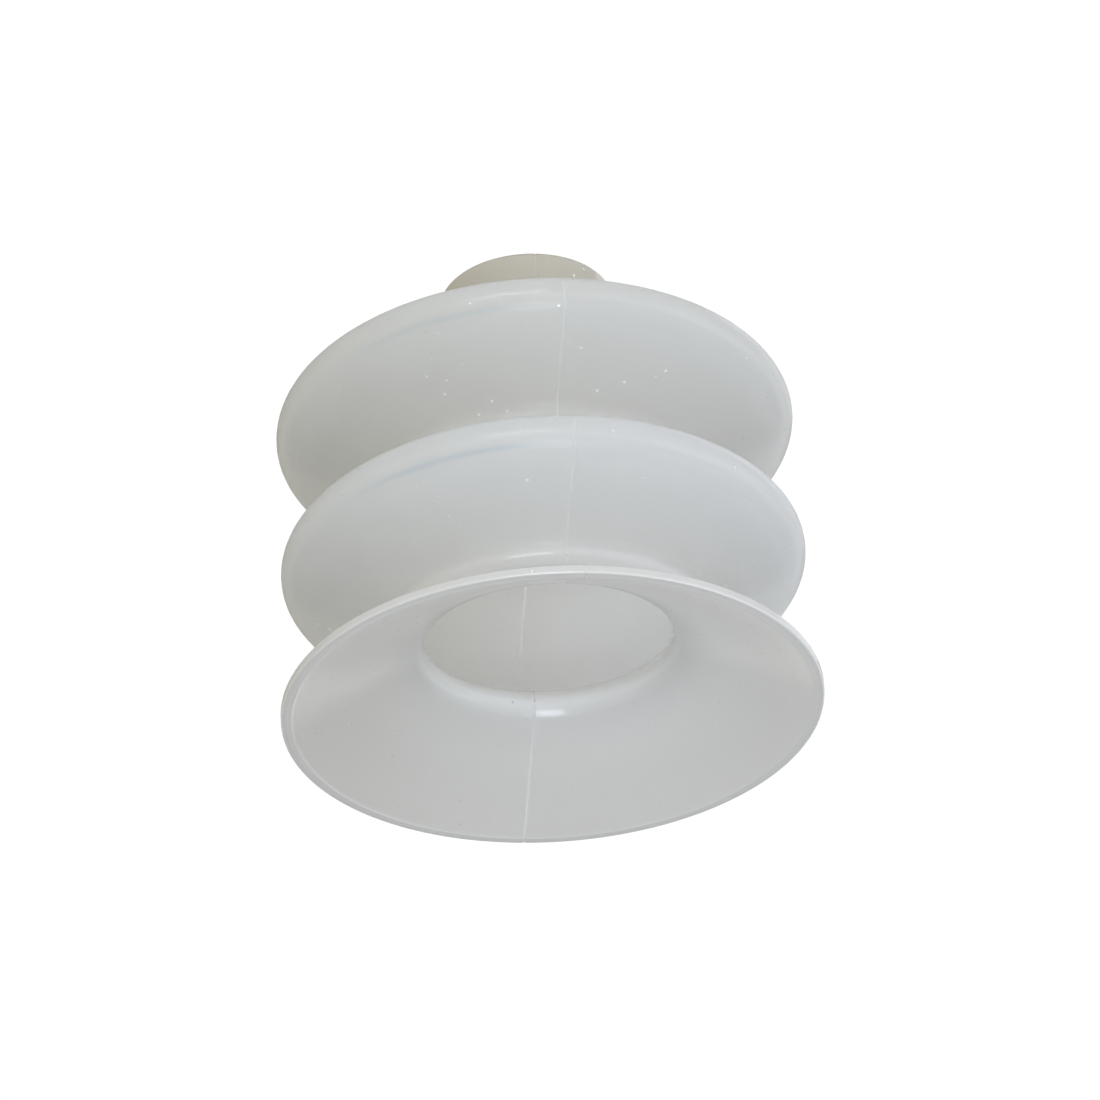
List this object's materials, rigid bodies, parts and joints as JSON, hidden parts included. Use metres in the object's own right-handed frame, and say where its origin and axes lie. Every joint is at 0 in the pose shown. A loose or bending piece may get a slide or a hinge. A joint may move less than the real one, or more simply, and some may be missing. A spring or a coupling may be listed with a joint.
{
  "type": "bellows suction cup",
  "caption": "Round bellows vacuum cup with a flared sealing lip, a folded wall that shortens in use, and a short neck with a threaded vacuum port.",
  "frame": {"origin": "centre of the lip's sealing plane, on the cup's axis", "axes": "+Z along the cup's axis, from the lip up to the neck; X is the axis that the cup tilts about"},
  "size_m": [0.052, 0.052, 0.0478],
  "materials": {
    "silicone": "translucent milky silicone, satin, as moulded",
    "brass": "turned, bare"
  },
  "bodies": {
    "mount": {"threaded_insert": "brass", "neck_sleeve": "silicone"},
    "shoulder": {"neck_root": "silicone", "shoulder_wall": "silicone"},
    "upper_crest": {"upper_crest": "silicone", "upper_fold_underside": "silicone"},
    "upper_waist": {"upper_waist": "silicone"},
    "lower_crest": {"lower_fold_top": "silicone", "lower_crest": "silicone", "lower_fold_underside": "silicone"},
    "lower_waist": {"lower_waist": "silicone"},
    "lip": {"lip_skirt": "silicone", "lip_edge": "silicone"}
  },
  "joints": [
    {"name": "neck_tilt", "type": "hinge", "parent": "mount", "child": "shoulder", "pos_m": [0, 0, 0.03975], "axis": [1, 0, 0], "range_deg": [-8, 8], "stiffness_Nm_per_rad": 0.25, "deforming": ["neck_root"]},
    {"name": "bellows_stroke", "type": "slide", "parent": "shoulder", "child": "lower_waist", "axis": [0, 0, 1], "range_m": [0, 0.015], "stiffness_N_per_m": 700},
    {"name": "upper_crest_travel", "type": "slide", "parent": "shoulder", "child": "upper_crest", "axis": [0, 0, 1], "range_m": [0, 0.00318], "deforming": ["shoulder_wall", "upper_fold_underside"]},
    {"name": "upper_waist_travel", "type": "slide", "parent": "shoulder", "child": "upper_waist", "axis": [0, 0, 1], "range_m": [0, 0.00712]},
    {"name": "lower_crest_travel", "type": "slide", "parent": "shoulder", "child": "lower_crest", "axis": [0, 0, 1], "range_m": [0, 0.01106], "deforming": ["lower_fold_top", "lower_fold_underside"]},
    {"name": "lip_flatten", "type": "slide", "parent": "lower_waist", "child": "lip", "axis": [0, 0, 1], "range_m": [0, 0.0035], "stiffness_N_per_m": 600, "deforming": ["lip_skirt"]}
  ],
  "couplings": [
    {"joint": "upper_crest_travel", "follows": "bellows_stroke", "ratio": 0.21212},
    {"joint": "upper_waist_travel", "follows": "bellows_stroke", "ratio": 0.47475},
    {"joint": "lower_crest_travel", "follows": "bellows_stroke", "ratio": 0.73737}
  ]
}
